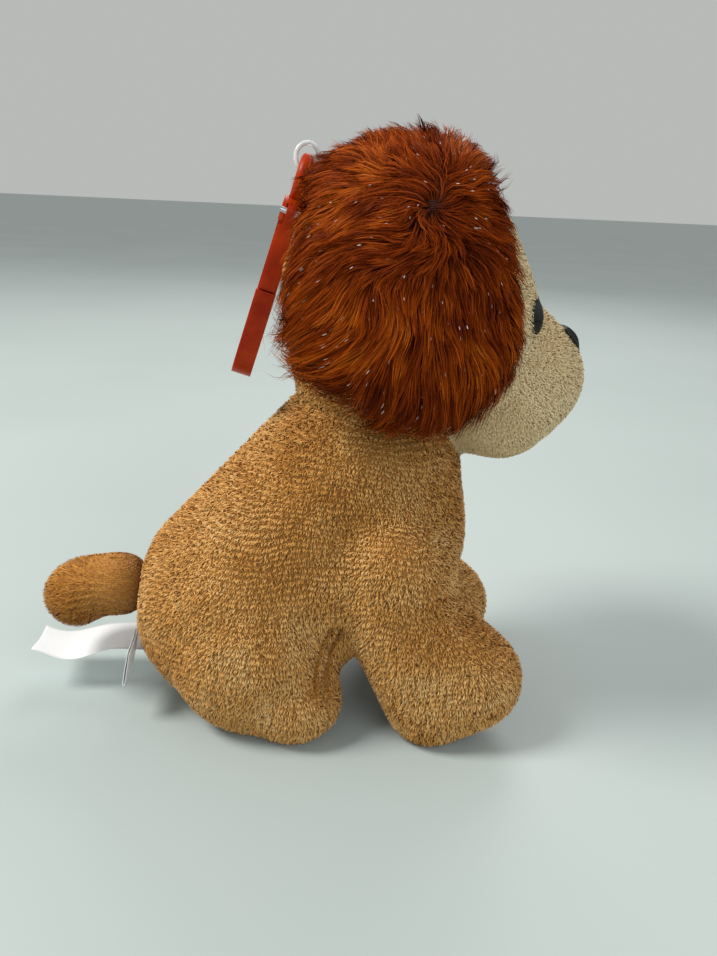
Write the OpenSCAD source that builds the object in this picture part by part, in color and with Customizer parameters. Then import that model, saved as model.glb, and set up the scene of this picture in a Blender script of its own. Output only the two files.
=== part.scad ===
// Sitting plush dog with long ears, a hanging loop and a plastic snap clip.
// Millimetres. +Z up, the dog faces -Y and its right side is at -X.
// The origin is on the surface that it sits on, below the middle of its length.

/* [Body] */
// Distance from the origin back to the rear of the rump
rump_back = 33.6; // [28:0.1:40]
// Length of the rump, front to back
rump_l = 46.6; // [40:1:54]
// Height of the rump
rump_h = 47; // [40:1:54]
// Width of the body across the hips, without the thighs
hip_w = 43; // [38:1:50]
// Distance from the middle of the rump forward to the middle of the chest
chest_reach = 28.3; // [24:0.1:32]
// Height of the middle of the chest
chest_z = 40; // [34:1:46]
// Width of the chest
chest_w = 38; // [32:1:44]
// Depth of the chest, front to back
chest_d = 35; // [30:1:42]
// Height of the chest piece, top to bottom
chest_h = 40; // [34:1:46]
// Height of the middle of the neck above the middle of the chest
neck_rise = 19.4; // [16:0.1:24]
// Width of the neck
neck_w = 34; // [28:1:38]
// Depth of the neck, front to back
neck_d = 35.4; // [30:1:40]
// Width of the panel that closes the underside
gusset_w = 18; // [14:1:22]
// How far the soft underside presses flat against the surface below
sit = 0.8; // [0.4:0.1:1.6]

/* [Legs] */
// Distance from the middle plane to the middle of a front paw
paw_x = 16.4; // [16:0.1:22]
// Width of a front paw
paw_w = 18; // [16:0.1:21]
// Height of a front paw at its toes
toe_h = 21.6; // [19:0.1:26]
// Distance from the middle of the chest forward to the middle of the toes
toe_reach = 18.2; // [16:0.1:22]
// Distance from the toes back to the heel of a front paw
heel_back = 7.4; // [6:0.1:10]
// Thickness of a front leg at the knee
knee_w = 21; // [18:1:24]
// Thickness of a front leg at the shoulder
shoulder_w = 24; // [20:1:27]
// Distance from the middle plane to the middle of a thigh
thigh_x = 13; // [11:0.1:16]
// Width of a thigh
thigh_w = 22; // [19:1:25]
// Length of a thigh, front to back
thigh_l = 34; // [29:1:39]
// Height of a thigh
thigh_h = 35; // [30:1:40]
// Distance from the middle of a thigh forward to the middle of its foot
foot_reach = 7.6; // [5:0.1:11]
// Width of a hind foot
foot_w = 18; // [15:1:21]

/* [Head] */
// Height of the middle of the skull above the middle of the chest
skull_rise = 48.8; // [45:0.1:53]
// Distance from the middle of the chest forward to the middle of the skull
skull_lead = 2.2; // [0:0.1:6]
// Width of the skull
skull_w = 46; // [40:1:52]
// Depth of the skull, front to back
skull_d = 46.4; // [42:1:54]
// Height of the skull
skull_h = 49.4; // [43:0.1:55]
// Width of the muzzle
muzzle_w = 29; // [25:1:33]
// Height of the muzzle
muzzle_h = 28; // [24:0.1:31]
// How far the muzzle stands out from the middle of the skull
muzzle_reach = 37; // [32:0.1:39]
// Drop from the middle of the skull to the middle of the muzzle
muzzle_drop = 17.6; // [15:0.1:20]
// Width of an embroidered eye
eye_w = 6.6; // [5:0.1:8]
// Height of an eye above the middle of the brow
eye_rise = 1.6; // [1:0.1:5]
// Angle of an eye outwards from straight ahead
eye_turn = 26; // [24:1:34]
// Width of the embroidered nose
nose_w = 8.6; // [7:0.1:11]
// Height of the embroidered nose
nose_h = 6.2; // [5:0.1:8]
// How far embroidery stands proud of the cloth
thread_t = 1; // [0.6:0.1:1.4]

/* [Ears] */
// Width of an ear, front to back
ear_w = 32; // [26:1:38]
// Length of the ear below the middle of the skull, to its lower edge
ear_drop = 15.5; // [14:0.5:23]
// Width of the seam that holds an ear
ear_root_w = 22; // [18:1:26]
// Distance from the middle plane to an ear's seam
ear_root_x = 8; // [5:0.5:12]
// How far an ear's lower part stands off the cheek
ear_flare = 1.2; // [0.6:0.1:3]
// Thickness of an ear's long plush, pressed flat
ear_plush_t = 2.2; // [1.4:0.1:3]
// Thickness of an ear's lining
ear_lining_t = 1.2; // [0.8:0.1:2]

/* [Tail] */
// Length of the tail outside the rump
tail_l = 18.6; // [14:0.1:24]
// Thickness of the tail
tail_w = 13.2; // [10:0.1:16]
// Height of the tail's root
tail_z = 26; // [20:0.1:28]
// How far the tail's root is set into the rump
tail_sunk = 3; // [1:0.1:4]
// Drop of the tail's tip below its root
tail_droop = 2.2; // [0:0.1:5]

/* [Cloth and filling] */
// Thickness of the pile cloth
cloth_t = 1.6; // [1:0.1:2.4]
// Clearance between sewn layers
layer_gap = 0.1; // [0.05:0.05:0.3]
// Clearance between pieces that move against each other
move_gap = 0.4; // [0.3:0.05:0.8]
// Width of the pouch of beans that weights the seat
pouch_w = 30; // [24:1:34]
// Length of the pouch of beans, front to back
pouch_l = 28; // [22:1:32]
// Height of the pouch of beans
pouch_h = 16; // [12:1:20]
// Thickness of the pouch's cloth
pouch_t = 0.6; // [0.4:0.1:1]

/* [Loop and clip] */
// Thickness of the loop's cord
cord_d = 0.9; // [0.8:0.1:1.2]
// Overall length of the clip
clip_l = 43; // [36:1:50]
// Width of the clip
clip_w = 13; // [11:0.5:16]
// Thickness of the clip's hook
clip_t = 3.8; // [3:0.1:5]
// Width of the clip's bars
clip_bar = 2.6; // [2:0.1:3.2]
// Angle of the hanging clip from upright
clip_lean = 17.2; // [12:0.1:26]
// Thickness of the ring that hangs in the loop
ring_t = 2.4; // [2:0.1:3]
// Outer diameter of the ring
ring_d = 9; // [8:0.1:11]
// Distance from the ring's top to the gate's pin
pin_drop = 11; // [10.6:0.1:15]
// Distance from the gate's pin to the joint with the hook's nose
gate_l = 14.6; // [11:0.1:18]
// Diameter of the gate's pin
pin_d = 1.4; // [1:0.1:1.8]
// Radial clearance between the pin and what turns on it
pin_fit = 0.05; // [0.02:0.01:0.1]
// Gap around the gate
gate_gap = 0.3; // [0.2:0.05:0.6]

/* [Labels] */
// Width of the care label
care_w = 12; // [10:1:16]
// Length of the care label
care_l = 30.6; // [18:1:32]
// Width of the small folded label
tab_w = 10; // [10:1:14]
// Length of the small label when folded
tab_l = 8; // [7:1:12]
// Thickness of the satin
satin_t = 0.4; // [0.3:0.1:0.8]
// Height of the seam that holds the labels
label_z = 10.6; // [10:0.1:17]

/* [Hidden] */

left = 1;
right = -1;
far = 200; // larger than the whole dog
soft_fn = 24; // facets round a soft form
inner_fn = 16; // facets inside it
round_fn = 48;
tan_cloth = "#c49a5a";
cream_cloth = "#dccda4";
rust_plush = "#7a3410";
rust_lining = "#8a4a22";
thread_black = "#1a1814";
fibre_white = "#f2efe6";
clip_orange = "#b8440f";
satin_white = "#f4f4f0";

// Middles of the soft forms
rump_y = rump_back - rump_l / 2;
chest_y = rump_y - chest_reach;
pelvis_at = [0, rump_y, rump_h / 2 - sit];
chest_at = [0, chest_y, chest_z];
neck_at = [0, chest_y + 3.4, chest_z + neck_rise];
skull_at = [0, chest_y - skull_lead, chest_z + skull_rise];
pelvis_r = [hip_w, rump_l, rump_h] / 2;
chest_r = [chest_w, chest_d, chest_h] / 2;
neck_r = [neck_w, neck_d, 28] / 2;
skull_r = [skull_w, skull_d, skull_h] / 2;
nape_at = skull_at + [0, 0.19 * skull_r[1], -0.56 * skull_r[2]];
nape_r = [0.76 * skull_r[0], 0.70 * skull_r[1], 0.55 * skull_r[2]];
brow_at = skull_at + [0, -0.24 * skull_r[1], -0.16 * skull_r[2]];
brow_r = [0.82 * skull_r[0], 0.91 * skull_r[1], 0.66 * skull_r[2]];
cheek_at = skull_at + [0.4 * skull_r[0], -0.42 * skull_r[1], -0.42 * skull_r[2]];
cheek_r = [0.48, 0.5, 0.48] * skull_r[0];

// The muzzle is two eggs, the lower one wider and further back, with a bridge up to the brow
// and a jowl at each side
muzzle_up_r = [0.43 * muzzle_w, 0.43 * muzzle_w, 0.42 * muzzle_h];
muzzle_low_r = [muzzle_w / 2, 0.46 * muzzle_w, 0.42 * muzzle_h];
bridge_r = [0.18 * muzzle_w, 0.3 * muzzle_w, 0.28 * muzzle_h];
jowl_r = [0.28 * muzzle_w, 0.36 * muzzle_w, 0.34 * muzzle_h];
muzzle_up_at = skull_at + [0, muzzle_up_r[1] - muzzle_reach,
                           -muzzle_drop + muzzle_h / 2 - muzzle_up_r[2]];
muzzle_low_at = skull_at + [0, muzzle_low_r[1] - muzzle_reach + 4,
                            -muzzle_drop - muzzle_h / 2 + muzzle_low_r[2]];
bridge_at = muzzle_up_at + [0, 0.08 * muzzle_w, 0.3 * muzzle_h];
jowl_at = muzzle_low_at + [0.27 * muzzle_w, 0.5, -0.5];
face_y = skull_at[1] - 11.5; // seam between the face and the sides of the head
chin_z = muzzle_low_at[2] - 0.55 * muzzle_low_r[2]; // seam between the muzzle and the chin

// The tail turns about the middle of its ball root
tail_r = tail_w / 2;
tail_at = [0, rump_back + tail_r - tail_sunk, tail_z];
tail_tip_at = [0, rump_back + tail_l - 0.47 * tail_w, tail_z - tail_droop];
tail_links = 4;

// An ear hangs from the outer edge of its seam on the crown
ear_in = move_gap;
ear_mid = ear_in + ear_lining_t;
ear_out = ear_mid + layer_gap + ear_plush_t;
ear_links = 4;
ear_low_z = skull_at[2] - ear_drop;
ear_hang = 0.45 * ear_drop; // how far the form of the skull is carried straight down
ear_y = skull_at[1] + 2.4; // middle of an ear, front to back
ear_hinge_z = skull_at[2] + (skull_r[2] + ear_out)
              * sqrt(1 - pow(ear_root_x / (skull_r[0] + ear_out), 2));

// The loop comes out of the seam at the back of the crown, arches over the top of the clip's ring,
// passes back through the ring's hole and goes into the seam again
ring_r = ring_t / 2;
ring_mid_r = (ring_d - ring_t) / 2;
loop_up = 0.66; // how far up the skull the seam is where the cord comes out
loop_z = skull_at[2] + loop_up * skull_r[2];
loop_y = skull_at[1] + (skull_r[1] + move_gap + 0.5) * sqrt(1 - pow(loop_up, 2));
pivot_at = [0, loop_y + 0.9, skull_at[2] + skull_r[2] - 0.9];
arch_under = ring_r + 0.4 + cord_d / 2; // from the pivot down to where the cord passes below it
arch_r = [arch_under + 0.1, arch_under + 0.45]; // the arch's half depth and half height
arch_at = pivot_at + [0, 0, arch_r[1] - arch_under];
arch_start = 168; // angles where the arch begins and ends
arch_end = -72;
arch_steps = 15;
loop_route = concat(
    [[4.2, loop_y, loop_z], [5.3, loop_y - 0.6, loop_z + 2.0], [5.3, loop_y - 0.9, loop_z + 4.3],
     [4.0, loop_y - 1.1, loop_z + 6.0], [2.2, loop_y - 1.2, loop_z + 6.8], [1.0, loop_y - 1.3, loop_z + 7.6]],
    [for (i = [0:arch_steps]) let (u = i / arch_steps, a = arch_start + (arch_end - arch_start) * u)
        arch_at + [0.55 - 1.1 * u, arch_r[0] * cos(a), arch_r[1] * sin(a)]],
    [[-1.0, loop_y, loop_z + 5.2], [-2.2, loop_y - 0.9, loop_z + 4.7], [-3.8, loop_y - 1.1, loop_z + 3.9],
     [-5.0, loop_y - 0.7, loop_z + 2.2], [-4.2, loop_y, loop_z]]);

// Clip, in its own frame: x across, y through its thickness, z up its length, from the pivot
clip_low = ring_r - clip_l;
hook_top = -ring_d + 2.6;
pin_at = [-clip_w / 2 + clip_bar / 2 + 0.3, 0, ring_r - pin_drop];
joint_z = pin_at[2] - gate_l;
knuckle_r = clip_bar / 2 + 0.3;
knuckle_t = clip_t * 0.42;
shoulder_r = norm([knuckle_r, knuckle_r + 1]); // from the pin to the gate's inner top corner
swing_top = 10; // angle below level that the shoulder reaches when the gate is open
lap = 2.4; // length of the half-lapped end of the gate

// Labels
function rump_surface(x, z) = rump_y
    + pelvis_r[1] * sqrt(1 - pow(x / pelvis_r[0], 2) - pow((z - pelvis_at[2]) / pelvis_r[2], 2));
care_x = 4.5;
label_y = rump_surface(0, label_z) + move_gap;
tab_x = -8;
tab_z = label_z + 6;
tab_y = rump_surface(tab_x + tab_w / 2, tab_z) + move_gap + satin_t;

// ---- soft forms ----

// An egg at a point, grown by k all round
module egg(at, r, k) {
    translate(at) scale([for (s = r) s + k]) sphere(r = 1, $fn = k < 0 ? inner_fn : soft_fn);
}

// Everything forward of, behind or to one side of a plane
module ahead_of(y) { translate([-far / 2, y - far, -far / 2]) cube([far, far, 2 * far]); }
module half(side) { translate([side > 0 ? 0 : -far, -far, -far]) cube([far, 2 * far, 2 * far]); }
module above(z) { translate([-far, -far, z]) cube([2 * far, 2 * far, 2 * far]); }

module front_leg_form(side, k) {
    shoulder = [side * 11.5, chest_y - 2, chest_z - 2];
    knee = [side * (paw_x - 2.4), chest_y - 4, toe_h + 4];
    toe = [side * paw_x, chest_y - toe_reach, toe_h / 2 + 2.6];
    heel = [side * paw_x, chest_y - toe_reach + heel_back, paw_w / 2 - sit];
    hull() {
        egg(shoulder, [1, 1, 1] * shoulder_w / 2, k);
        egg(knee, [1, 1, 1] * knee_w / 2, k);
    }
    hull() {
        egg(knee, [1, 1, 1] * knee_w / 2, k);
        egg(heel, [1, 1, 1] * paw_w / 2, k);
        egg(toe, [paw_w + 1, toe_h + 0.6, toe_h] / 2, k);
    }
}

module hind_leg_form(side, k) {
    thigh = [side * thigh_x, rump_y - 3, thigh_h / 2 - sit / 2];
    foot = [side * (thigh_x + 2.2), rump_y - 3 - foot_reach, foot_w / 2 - sit];
    hull() egg(thigh, [thigh_w, thigh_l, thigh_h] / 2, k);
    hull() {
        egg(foot, [foot_w, foot_w + 2, foot_w] / 2, k);
        egg(thigh - [0, 2, 5], [thigh_w, thigh_l, thigh_h] * 0.36, k);
    }
}

module body_form(k) {
    difference() {
        union() {
            hull() { egg(pelvis_at, pelvis_r, k); egg(neck_at, neck_r, k); }
            hull() { egg(pelvis_at, pelvis_r, k); egg(chest_at, chest_r, k); }
            hull() { egg(chest_at, chest_r, k); egg(neck_at, neck_r, k); }
            for (side = [left, right]) {
                front_leg_form(side, k);
                hind_leg_form(side, k);
            }
        }
        head_form(layer_gap - min(k, 0));
        translate(tail_at) sphere(r = tail_r + move_gap - k, $fn = soft_fn);
        translate([-far, -far, -far]) cube([2 * far, 2 * far, far - k]);
    }
}

function mirrored(p, side) = [side * p[0], p[1], p[2]];

module skull_form(k) {
    hull() { egg(skull_at, skull_r, k); egg(nape_at, nape_r, k); }
    hull() { egg(skull_at, skull_r, k); egg(brow_at, brow_r, k); }
    for (side = [left, right]) hull() egg(mirrored(cheek_at, side), cheek_r, k);
}

module muzzle_form(k) {
    hull() { egg(muzzle_up_at, muzzle_up_r, k); egg(muzzle_low_at, muzzle_low_r, k); }
    hull() { egg(muzzle_up_at, muzzle_up_r, k); egg(bridge_at, bridge_r, k); }
    for (side = [left, right]) hull() egg(mirrored(jowl_at, side), jowl_r, k);
}

module head_form(k) {
    skull_form(k);
    muzzle_form(k);
}

// ---- body ----

module body_shell() {
    difference() {
        body_form(0);
        body_form(-cloth_t);
    }
}

// The strip of the underside that the gusset fills, grown by k
module gusset_zone(k) {
    front = chest_y - chest_d * 0.3;
    translate([-gusset_w / 2 - k, front - k, -1])
        cube([gusset_w + 2 * k, rump_y - front, chest_z - chest_h * 0.3]);
    translate([-gusset_w / 2 - k, rump_y - 1, -1])
        cube([gusset_w + 2 * k, label_y - rump_y + 2, label_z + 2 + k]);
}

module body_side(side) {
    color(tan_cloth) intersection() {
        difference() {
            body_shell();
            gusset_zone(layer_gap);
        }
        half(side);
    }
}

module underbody_gusset() {
    color(tan_cloth) intersection() {
        body_shell();
        gusset_zone(0);
    }
}

pouch_lift = 1; // keeps the pouch clear of the curve of the seat
pouch_at = [0, rump_y, cloth_t + 2 * layer_gap + pouch_lift + pouch_h / 2];

module pouch_form(k) { hull() egg(pouch_at, [pouch_w, pouch_l, pouch_h] / 2, k); }

// The filling is pushed aside where the pouch lies on the gusset
module body_stuffing() {
    color(fibre_white) difference() {
        body_form(-cloth_t - layer_gap);
        hull() for (low = [0, pouch_h])
            egg(pouch_at - [0, 0, low], [pouch_w, pouch_l, pouch_h] / 2, pouch_t + layer_gap);
    }
}

// Two rounds of thin cloth, sewn together round a flat rim
module bean_pouch() {
    rim_links = 16;
    difference() {
        union() {
            pouch_form(0);
            for (i = [0:rim_links - 1]) hull() for (j = [i, i + 1])
                translate(pouch_at + [(pouch_w / 2 - pouch_t / 2) * cos(360 * j / rim_links),
                                      (pouch_l / 2 - pouch_t / 2) * sin(360 * j / rim_links), -pouch_t])
                    cylinder(h = 2 * pouch_t, r = pouch_t, $fn = 8);
        }
        pouch_form(-pouch_t);
    }
}

module bean_pouch_top() {
    color(satin_white) intersection() {
        bean_pouch();
        above(pouch_at[2]);
    }
}

module bean_pouch_base() {
    color(satin_white) difference() {
        bean_pouch();
        above(pouch_at[2]);
    }
}

module bean_fill() { color("#d9d2c0") pouch_form(-pouch_t - layer_gap); }

// ---- tail ----

// Middle and size of the tail's form along its length, u from 0 at the root to 1 at the tip
function tail_point(u) = tail_at + (tail_tip_at - tail_at) * u + [0, 0, 0.6 * sin(180 * u)];
function tail_girth(u) = tail_r * (1 - 0.06 * u);

module tail_form(k) {
    for (i = [0:tail_links - 1]) hull() for (u = [i, i + 1] / tail_links)
        egg(tail_point(u), [1, 1, 1] * tail_girth(u), k);
}

module tail_cover(side) {
    color(tan_cloth) intersection() {
        difference() {
            tail_form(0);
            tail_form(-cloth_t);
        }
        half(side);
    }
}

module tail_stuffing() {
    slack = 0.6; // the filling is a little short of the cover
    color(fibre_white) hull() for (u = [0, 0.5, 1])
        egg(tail_point(u), [1, 1, 1] * tail_girth(u), -cloth_t - layer_gap - slack);
}

// ---- head ----

module head_shell() {
    difference() {
        head_form(0);
        head_form(-cloth_t);
    }
}

// The face is in front of a seam that the ears cover
module head_side(side) {
    color(tan_cloth) intersection() {
        difference() {
            head_shell();
            muzzle_form(layer_gap);
            ahead_of(face_y + layer_gap);
        }
        half(side);
    }
}

module forehead_panel() {
    color(cream_cloth) intersection() {
        difference() {
            head_shell();
            muzzle_form(layer_gap);
        }
        ahead_of(face_y);
    }
}

module muzzle_shell() {
    difference() {
        muzzle_form(0);
        head_form(-cloth_t);
    }
}

module muzzle_side(side) {
    color(cream_cloth) intersection() {
        muzzle_shell();
        half(side);
        above(chin_z + layer_gap);
    }
}

module chin_panel() {
    color(cream_cloth) difference() {
        muzzle_shell();
        above(chin_z);
    }
}

module head_stuffing() { color(fibre_white) head_form(-cloth_t - layer_gap); }

// ---- ears ----

// The skull's own form carried down and a little out, which is how an ear lies over it
module ear_form(k) {
    for (i = [0:ear_links - 1]) hull() for (u = [i, i + 1] / ear_links)
        egg(skull_at - [0, 0, ear_hang * u], skull_r + [1, 1, 0] * ear_flare * u, k);
}

// Outline of an ear, seen from the side, and cut off at its seam
module ear_zone(side) {
    low_r = 0.46 * ear_w;
    rotate([90, 0, 90]) linear_extrude(height = far, center = true) hull() {
        translate([ear_y - 0.1 * ear_w, ear_low_z + low_r]) circle(r = low_r, $fn = 2 * soft_fn);
        translate([ear_y, skull_at[2] + 0.1 * skull_r[2]])
            circle(r = ear_w / 2, $fn = 2 * soft_fn);
        translate([ear_y - ear_root_w / 2 + 1, ear_hinge_z]) square([ear_root_w, 4]);
    }
}

module ear_layer(side, inner, outer) {
    intersection() {
        difference() {
            ear_form(outer);
            ear_form(inner);
        }
        ear_zone(side);
        translate([side * ear_root_x, 0, 0]) half(side);
    }
}

module ear_plush(side) { color(rust_plush) ear_layer(side, ear_mid + layer_gap, ear_out); }
module ear_lining(side) { color(rust_lining) ear_layer(side, ear_in, ear_mid); }

// ---- embroidery ----

// Frame of a point on the brow, turned out from straight ahead; z then points out of the face
module on_brow(turn, z_above) {
    c = sqrt(1 - pow(z_above / brow_r[2], 2));
    x = brow_r[0] * c * sin(turn);
    y = -brow_r[1] * c * cos(turn);
    aside = atan2(x / pow(brow_r[0], 2), -y / pow(brow_r[1], 2));
    up = asin(z_above / brow_r[2]) * brow_r[1] / brow_r[2] * 0.7;
    translate(brow_at + [x, y, z_above]) rotate([0, 0, aside]) rotate([90 - up, 0, 0]) children();
}

module eye(side) {
    dome_r = eye_w * 0.9;
    color(thread_black) on_brow(side * eye_turn, eye_rise) translate([0, 0, layer_gap])
        intersection() {
            cylinder(h = thread_t, d = eye_w, $fn = round_fn);
            translate([0, 0, thread_t - dome_r]) sphere(r = dome_r, $fn = round_fn);
        }
}

// Rounded triangle with its point downwards
module nose_outline() {
    hull() {
        for (side = [left, right])
            translate([side * nose_w * 0.31, nose_h * 0.16]) circle(r = nose_h * 0.3, $fn = soft_fn);
        translate([0, -nose_h * 0.28]) circle(r = nose_h * 0.22, $fn = soft_fn);
    }
}

// Stitched over the top of the muzzle, whose curve it follows
module nose() {
    nose_tilt = 40; // lean of the nose back from upright
    color(thread_black) intersection() {
        difference() {
            muzzle_form(layer_gap + thread_t);
            muzzle_form(layer_gap);
        }
        translate(muzzle_up_at) rotate([90 - nose_tilt, 0, 0])
            linear_extrude(height = muzzle_reach) nose_outline();
    }
}

// ---- loop ----

function unit(v) = v / norm(v);
function heading(p, i) = unit(p[min(i + 1, len(p) - 1)] - p[max(i - 1, 0)]);

// A tube along a route, each ring square to the route
module tube(route, d, sides) {
    rings = [for (i = [0:len(route) - 1])
        let (t = heading(route, i), u = unit(cross(t, [0.2, 0.3, 1])), v = cross(t, u))
            for (s = [0:sides - 1]) let (a = 360 * s / sides)
                route[i] + (u * cos(a) + v * sin(a)) * d / 2];
    n = len(route);
    walls = [for (i = [0:n - 2]) for (s = [0:sides - 1])
        [i * sides + s, (i + 1) * sides + s,
         (i + 1) * sides + (s + 1) % sides, i * sides + (s + 1) % sides]];
    polyhedron(points = rings, faces = concat(walls,
        [[for (s = [0:sides - 1]) s]], [[for (s = [sides - 1:-1:0]) (n - 1) * sides + s]]));
}

module hanging_loop() { color(satin_white) tube(loop_route, cord_d, 8); }

// ---- clip ----

module clip_frame_of_reference() { translate(pivot_at) rotate([clip_lean, 0, 0]) children(); }

// A round-ended slot standing in the plane of the clip
module stadium(w, top, low, t) {
    rotate([90, 0, 0]) linear_extrude(height = t, center = true) {
        translate([0, top - w / 2]) circle(d = w, $fn = round_fn);
        translate([0, low + w / 2]) circle(d = w, $fn = round_fn);
        translate([-w / 2, low + w / 2]) square([w, top - low - w]);
    }
}

module clip_ring() {
    translate([0, 0, -ring_mid_r]) rotate([90, 0, 0])
        rotate_extrude($fn = round_fn) translate([ring_mid_r, 0]) circle(d = ring_t, $fn = 24);
}

module clip_frame() {
    inner_w = clip_w - 2 * clip_bar;
    color(clip_orange) clip_frame_of_reference() {
        difference() {
            union() {
                clip_ring();
                stadium(clip_w, hook_top - 0.6, clip_low, clip_t);
                translate([-ring_t / 2, -ring_t / 2, hook_top - 1.4]) cube([ring_t, ring_t, 1.2]);
            }
            // the opening of the hook
            stadium(inner_w, hook_top - clip_bar - 1.4, clip_low + clip_bar, 2 * clip_t);
            // the way in, which the gate closes
            translate([-clip_w, -clip_t, joint_z])
                cube([clip_w / 2 + clip_bar + 0.6, 2 * clip_t, gate_l - knuckle_r]);
            // the hole of the ring stays open
            translate([0, 0, -ring_mid_r]) rotate([90, 0, 0])
                cylinder(h = 2 * clip_t, r = ring_mid_r - ring_r, center = true, $fn = round_fn);
            // room for the gate's knuckle between two cheeks
            translate(pin_at) rotate([90, 0, 0])
                cylinder(h = knuckle_t + 2 * gate_gap, r = knuckle_r + gate_gap, center = true,
                         $fn = round_fn);
            translate([pin_at[0] - clip_w, -knuckle_t / 2 - gate_gap, pin_at[2] - knuckle_r - 1])
                cube([clip_w + knuckle_r + gate_gap, knuckle_t + 2 * gate_gap, knuckle_r + 1]);
            // room for the gate's shoulder, which swings in and up past the cheeks
            translate(pin_at) rotate([90, 0, 0]) linear_extrude(height = 2 * clip_t, center = true)
                difference() {
                    intersection() {
                        circle(r = shoulder_r + gate_gap, $fn = round_fn);
                        polygon([[0, 0], [0, -clip_w], [clip_w, -clip_w], [clip_w, -clip_w * tan(swing_top)]]);
                    }
                    circle(r = knuckle_r + gate_gap, $fn = round_fn);
                }
            // the pin's hole through both cheeks
            translate(pin_at) rotate([90, 0, 0])
                cylinder(h = 2 * clip_t, r = pin_d / 2 + pin_fit, center = true, $fn = round_fn);
            // the half lap of the hook's nose
            translate([-clip_w / 2 + clip_bar / 2, -clip_t, joint_z - lap])
                cube([clip_bar, 2 * clip_t, lap + 1]);
        }
    }
}

module clip_gate() {
    gate_t = clip_t - 0.8;
    inset = 0.25; // how far the gate lies inside the outline
    color(clip_orange) clip_frame_of_reference() difference() {
        union() {
            translate(pin_at) rotate([90, 0, 0])
                cylinder(h = knuckle_t, r = knuckle_r, center = true, $fn = round_fn);
            translate([pin_at[0] - knuckle_r + inset, -knuckle_t / 2, pin_at[2] - knuckle_r - 1])
                cube([2 * knuckle_r - 2 * inset, knuckle_t, knuckle_r + 1]);
            translate([-clip_w / 2 + inset, -gate_t / 2, joint_z + gate_gap])
                cube([clip_bar - inset, gate_t, gate_l - knuckle_r - 0.8 - gate_gap]);
            translate([-clip_w / 2 + clip_bar / 2 + gate_gap, -gate_t / 2, joint_z - lap + gate_gap])
                cube([clip_bar / 2 - gate_gap, gate_t, lap + 1]);
        }
        translate(pin_at) rotate([90, 0, 0])
            cylinder(h = 2 * clip_t, r = pin_d / 2 + pin_fit, center = true, $fn = round_fn);
    }
}

module clip_pin() {
    color("#c9ccce") clip_frame_of_reference() translate(pin_at) rotate([90, 0, 0])
        cylinder(h = clip_t, d = pin_d, center = true, $fn = round_fn);
}

// ---- labels ----

// A strip of satin of width w, whose middle line has these points, each back from the dog and up
module satin_strip(x, w, points) {
    n = len(points);
    outline = concat([for (p = points) p + [0, satin_t / 2]],
                     [for (i = [n - 1:-1:0]) points[i] - [0, satin_t / 2]]);
    translate([x - w / 2, 0, 0]) rotate([90, 0, 90]) linear_extrude(height = w) polygon(outline);
}

module care_label() {
    run = 0.86 * care_l; // length in plan of the waved strip
    wave = [for (i = [0:12]) let (u = i / 12)
        [label_y + run * u, label_z - 1.6 * u + 1.5 * sin(400 * u) * u]];
    color(satin_white) satin_strip(care_x, care_w, wave);
}

// Folded in two, with the fold at its lower end
module seam_label() {
    lean = 78; // slope of the hanging label below level
    color(satin_white) translate([tab_x, tab_y, tab_z]) rotate([-lean, 0, 0])
        translate([-tab_w / 2, 0, -satin_t]) cube([tab_w, tab_l, 2 * satin_t]);
}

body_side(left);  // body_side_left
body_side(right);  // body_side_right
underbody_gusset();
body_stuffing();
bean_pouch_top();
bean_pouch_base();
bean_fill();
tail_cover(left);  // tail_cover_left
tail_cover(right);  // tail_cover_right
tail_stuffing();
head_side(left);  // head_side_left
head_side(right);  // head_side_right
forehead_panel();
muzzle_side(left);  // muzzle_left
muzzle_side(right);  // muzzle_right
chin_panel();
head_stuffing();
ear_plush(left);  // ear_left_plush
ear_lining(left);  // ear_left_lining
ear_plush(right);  // ear_right_plush
ear_lining(right);  // ear_right_lining
eye(left);  // eye_left
eye(right);  // eye_right
nose();
hanging_loop();
clip_frame();
clip_gate();
clip_pin();
care_label();
seam_label();
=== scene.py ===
"""A small plush dog on a clip: its cloth, pile, stitching, labels and fittings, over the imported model."""

import math

import bmesh
import bpy
import numpy as np
from mathutils import Matrix, Vector
from mathutils.bvhtree import BVHTree
from mathutils.kdtree import KDTree


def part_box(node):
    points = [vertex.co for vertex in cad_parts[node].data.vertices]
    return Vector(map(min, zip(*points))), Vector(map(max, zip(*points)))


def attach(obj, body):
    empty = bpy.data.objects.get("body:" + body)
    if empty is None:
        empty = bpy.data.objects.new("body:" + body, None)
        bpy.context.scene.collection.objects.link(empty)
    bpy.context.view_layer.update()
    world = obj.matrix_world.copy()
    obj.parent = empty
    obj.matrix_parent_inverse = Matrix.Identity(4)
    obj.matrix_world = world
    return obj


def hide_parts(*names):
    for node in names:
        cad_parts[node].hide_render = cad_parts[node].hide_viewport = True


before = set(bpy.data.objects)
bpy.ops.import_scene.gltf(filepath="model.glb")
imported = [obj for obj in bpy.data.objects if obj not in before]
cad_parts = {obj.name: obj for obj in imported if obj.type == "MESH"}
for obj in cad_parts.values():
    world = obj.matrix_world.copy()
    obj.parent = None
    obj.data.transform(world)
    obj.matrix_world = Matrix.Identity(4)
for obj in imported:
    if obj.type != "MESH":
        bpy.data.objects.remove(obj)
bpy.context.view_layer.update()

MM = 0.001
UP = np.array([0.0, 0.0, 1.0])
TAIL_ROOT = np.array([0.0, 37.2, 26.0]) * MM
LOOP_ROOT = np.array([0.0, -2.1, 106.5]) * MM
WHORL = np.array([-21.4, 105.8]) * MM  # where the fur parts at the top of an ear, along Y and Z
TOWARD_FRONT = np.array([0.0, -1.0, 0.1])

CAMERA_PLACE = (-0.154564, 0.000272, 0.105)
CAMERA_AZIMUTH = -5.0  # degrees from +X to the way it looks
CAMERA_PITCH = -19.2
CAMERA_ROLL = 2.6

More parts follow.
